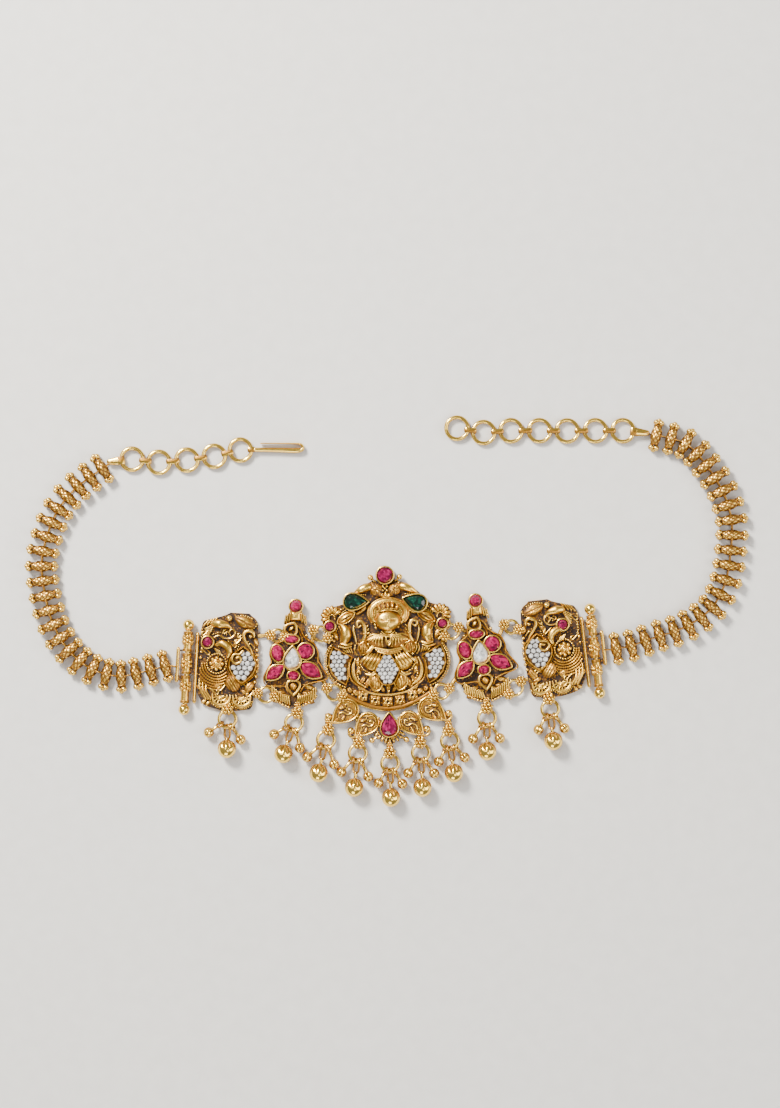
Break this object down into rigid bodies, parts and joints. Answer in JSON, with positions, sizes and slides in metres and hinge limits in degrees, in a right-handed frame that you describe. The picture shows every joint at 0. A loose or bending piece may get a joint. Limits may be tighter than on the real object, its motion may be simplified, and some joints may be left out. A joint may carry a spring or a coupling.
{
  "type": "bajuband armlet",
  "caption": "Jewelled upper-arm ornament laid flat: a five-section front set with red, green and clear stones, hung with ball drops, between two hinged bead chains with a hook and rings.",
  "frame": {"origin": "middle of the laid-out armlet, on the plane that its flat back rests on", "axes": "+X along the jewelled front from the hook's chain to the plain chain, +Y from the drops towards the hook and rings, +Z out of the jewel's face"},
  "size_m": [0.1586, 0.0858, 0.0038],
  "materials": {
    "antique_gold": "gold-plated brass, matt, darkened in the recesses",
    "bright_gold": "gold-plated brass, polished",
    "ruby": "cut red glass stones",
    "emerald": "cut green glass stones",
    "clear_stone": "cut clear stones"
  },
  "bodies": {
    "front": {"centre_plaque": "antique_gold", "centre_top_ruby": "ruby", "emerald_left": "emerald", "emerald_right": "emerald", "pear_ruby": "ruby", "swan_ruby_left": "ruby", "swan_ruby_right": "ruby", "skirt_stones": "clear_stone", "swan_stones_left": "clear_stone", "swan_stones_right": "clear_stone", "flower_panel_left": "antique_gold", "flower_panel_right": "antique_gold", "flower_top_ruby_left": "ruby", "flower_top_petal_left": "ruby", "flower_upper_petal_left": "ruby", "flower_round_petal_left": "ruby", "flower_white_pear_left": "clear_stone", "flower_lower_petal_left": "ruby", "flower_long_petal_left": "ruby", "flower_bottom_petal_left": "ruby", "flower_top_ruby_right": "ruby", "flower_top_petal_right": "ruby", "flower_upper_petal_right": "ruby", "flower_round_petal_right": "ruby", "flower_white_pear_right": "clear_stone", "flower_lower_petal_right": "ruby", "flower_long_petal_right": "ruby", "flower_bottom_petal_right": "ruby", "peacock_panel_left": "antique_gold", "peacock_panel_right": "antique_gold", "peacock_ruby_left": "ruby", "peacock_ruby_right": "ruby", "peacock_stones_left": "clear_stone", "peacock_stones_right": "clear_stone", "connector_outer_left": "bright_gold", "connector_inner_left": "bright_gold", "connector_inner_right": "bright_gold", "connector_outer_right": "bright_gold", "drop_1": "bright_gold", "drop_2": "bright_gold", "drop_3": "bright_gold", "drop_4": "bright_gold", "drop_5": "bright_gold", "drop_6": "bright_gold", "drop_7": "bright_gold", "drop_8": "bright_gold", "drop_9": "bright_gold", "inner_leaf_left": "antique_gold", "inner_leaf_right": "antique_gold", "hinge_pin_left": "bright_gold", "hinge_pin_right": "bright_gold"},
    "left_chain": {"outer_leaf_left": "antique_gold", "bead_chain_left": "antique_gold", "ring_chain_left": "bright_gold", "hook": "bright_gold"},
    "right_chain": {"outer_leaf_right": "antique_gold", "bead_chain_right": "antique_gold", "ring_chain_right": "bright_gold"}
  },
  "joints": [
    {"name": "left_hinge", "type": "hinge", "parent": "front", "child": "left_chain", "pos_m": [-0.04401, -0.01243, 0.0013], "axis": [0.055, 0.9985, 0], "range_deg": [-90, 45]},
    {"name": "right_hinge", "type": "hinge", "parent": "front", "child": "right_chain", "pos_m": [0.04566, -0.00887, 0.0013], "axis": [-0.1142, 0.9935, 0], "range_deg": [-45, 90]}
  ]
}
